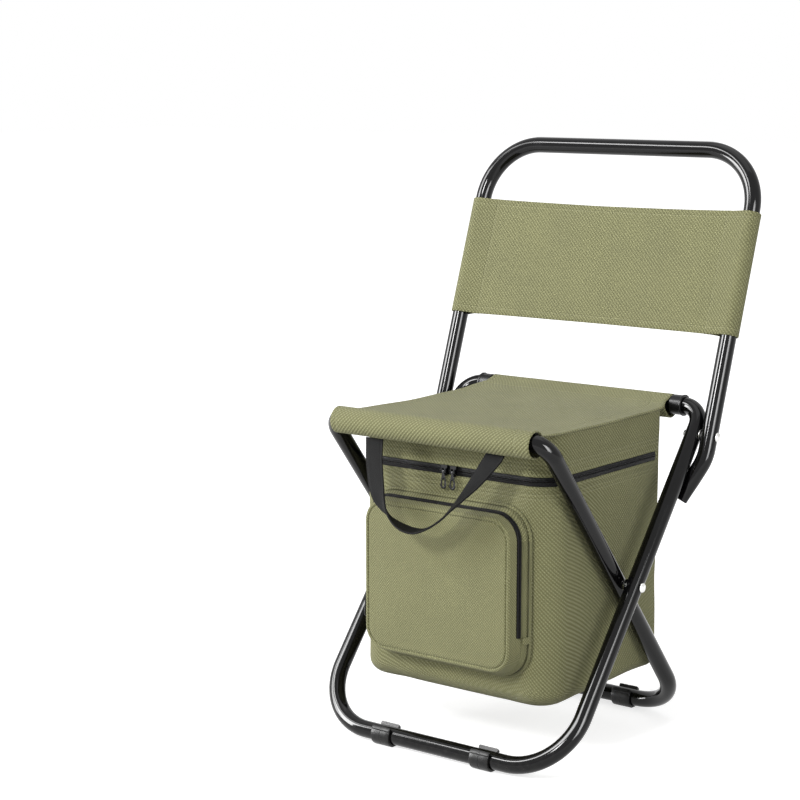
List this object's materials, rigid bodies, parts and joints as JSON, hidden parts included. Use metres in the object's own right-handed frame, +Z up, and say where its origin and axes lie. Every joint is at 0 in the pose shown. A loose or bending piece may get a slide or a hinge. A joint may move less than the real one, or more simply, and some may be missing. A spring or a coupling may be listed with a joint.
{
  "type": "folding cooler stool",
  "caption": "Folding stool of bent steel tube with a folding backrest, a fabric seat sling and an insulated zip cooler bag with a front pocket hung under the seat.",
  "frame": {"origin": "middle of the overall box on the floor: x = 0 is the middle across, y = 0 the middle of the depth, z = 0 the floor under the foot clips", "axes": "+Z up, +Y towards the backrest, so the user's front and the pocket face -Y, and X runs across the seat"},
  "size_m": [0.3536, 0.3756, 0.5897],
  "materials": {
    "tube_paint": "gloss black paint on round steel tube",
    "zinc": "bright zinc plate",
    "black_plastic": "satin black moulded plastic",
    "olive_fabric": "coated olive polyester with a coarse diagonal weave",
    "white_foam": "closed-cell foam sheet",
    "silver_liner": "silver foil film",
    "black_tape": "black zip tape with coil teeth",
    "zip_metal": "gloss black enamel",
    "black_webbing": "flat woven polypropylene webbing"
  },
  "bodies": {
    "outer_frame": {"outer_leg_frame": "tube_paint", "outer_frame_splice": "zinc", "frame_rivet_left": "zinc", "frame_rivet_right": "zinc", "frame_washer_left": "zinc", "frame_washer_right": "zinc", "backrest_rivet_left": "zinc", "backrest_rivet_right": "zinc", "backrest_washer_left": "zinc", "backrest_washer_right": "zinc", "foot_clip_front_left": "black_plastic", "foot_clip_front_right": "black_plastic", "rear_bar_collar_left": "black_plastic", "rear_bar_collar_right": "black_plastic", "seat_sling": "olive_fabric"},
    "inner_frame": {"inner_leg_frame": "tube_paint", "inner_frame_splice": "zinc", "foot_clip_rear_left": "black_plastic", "foot_clip_rear_right": "black_plastic"},
    "backrest": {"backrest_frame": "tube_paint", "backrest_fabric": "olive_fabric"},
    "cooler_lid": {"cooler_lid_band": "olive_fabric", "cooler_lid_foam": "white_foam", "cooler_lid_liner": "silver_liner", "cooler_zip_upper": "black_tape"},
    "cooler_tub": {"cooler_tub_shell": "olive_fabric", "cooler_tub_foam": "white_foam", "cooler_tub_liner": "silver_liner", "cooler_zip_lower": "black_tape", "pocket_gusset": "olive_fabric", "pocket_zip_rear": "black_tape", "pocket_piping": "olive_fabric"},
    "pocket_front": {"pocket_panel": "olive_fabric", "pocket_zip_front": "black_tape"},
    "zip_slider_left_body": {"zip_slider_left": "zip_metal"},
    "zip_slider_right_body": {"zip_slider_right": "zip_metal"},
    "zip_pull_left_body": {"zip_pull_left": "zip_metal"},
    "zip_pull_right_body": {"zip_pull_right": "zip_metal"},
    "pocket_slider_body": {"pocket_slider": "zip_metal"},
    "pocket_pull_body": {"pocket_pull": "zip_metal"},
    "handle": {"carry_handle": "black_webbing"}
  },
  "joints": [
    {"name": "frame_fold", "type": "hinge", "parent": "outer_frame", "child": "inner_frame", "pos_m": [0, -0.02274, 0.1685], "axis": [-1, 0, 0], "range_deg": [0, 70], "deforming": ["cooler_tub_shell", "cooler_tub_foam", "cooler_tub_liner", "cooler_lid_band", "cooler_lid_foam", "cooler_lid_liner", "cooler_zip_lower", "cooler_zip_upper", "pocket_gusset", "pocket_zip_rear", "pocket_zip_front", "pocket_panel", "pocket_piping", "pocket_slider", "pocket_pull", "zip_slider_left", "zip_slider_right", "zip_pull_left", "zip_pull_right", "carry_handle", "seat_sling"]},
    {"name": "backrest_fold", "type": "hinge", "parent": "outer_frame", "child": "backrest", "pos_m": [0, 0.08461, 0.30294], "axis": [1, 0, 0], "range_deg": [0, 85]},
    {"name": "cooler_fold", "type": "hinge", "parent": "outer_frame", "child": "cooler_lid", "pos_m": [0, 0.10426, 0.32755], "axis": [-1, 0, 0], "range_deg": [0, 35]},
    {"name": "tub_drop", "type": "hinge", "parent": "cooler_lid", "child": "cooler_tub", "pos_m": [0, 0.07826, 0.28103], "axis": [1, 0, 0], "range_deg": [0, 14]},
    {"name": "zip_left_slide", "type": "slide", "parent": "cooler_tub", "child": "zip_slider_left_body", "axis": [-1, 0, 0], "range_m": [0, 0.07]},
    {"name": "zip_right_slide", "type": "slide", "parent": "cooler_tub", "child": "zip_slider_right_body", "axis": [1, 0, 0], "range_m": [0, 0.07]},
    {"name": "zip_left_pull", "type": "hinge", "parent": "zip_slider_left_body", "child": "zip_pull_left_body", "pos_m": [-0.0054, -0.12824, 0.28103], "axis": [-1, 0, 0], "range_deg": [0, 150]},
    {"name": "zip_right_pull", "type": "hinge", "parent": "zip_slider_right_body", "child": "zip_pull_right_body", "pos_m": [0.0054, -0.12824, 0.28103], "axis": [-1, 0, 0], "range_deg": [0, 150]},
    {"name": "handle_swing", "type": "hinge", "parent": "inner_frame", "child": "handle", "pos_m": [0, -0.15124, 0.32568], "axis": [-1, 0, 0], "range_deg": [0, 150]},
    {"name": "pocket_open", "type": "hinge", "parent": "cooler_tub", "child": "pocket_front", "pos_m": [0, -0.13379, 0.0932], "axis": [1, 0, 0], "range_deg": [0, 70], "deforming": ["carry_handle"]},
    {"name": "pocket_zip_slide", "type": "slide", "parent": "cooler_tub", "child": "pocket_slider_body", "axis": [0, 0, 1], "range_m": [0, 0.075]},
    {"name": "pocket_zip_pull", "type": "hinge", "parent": "pocket_slider_body", "child": "pocket_pull_body", "pos_m": [-0.09416, -0.13788, 0.1425], "axis": [-0.3104, 0.9506, 0], "range_deg": [0, 150]}
  ],
  "couplings": [
    {"joint": "cooler_fold", "follows": "frame_fold", "ratio": 0.5}
  ]
}
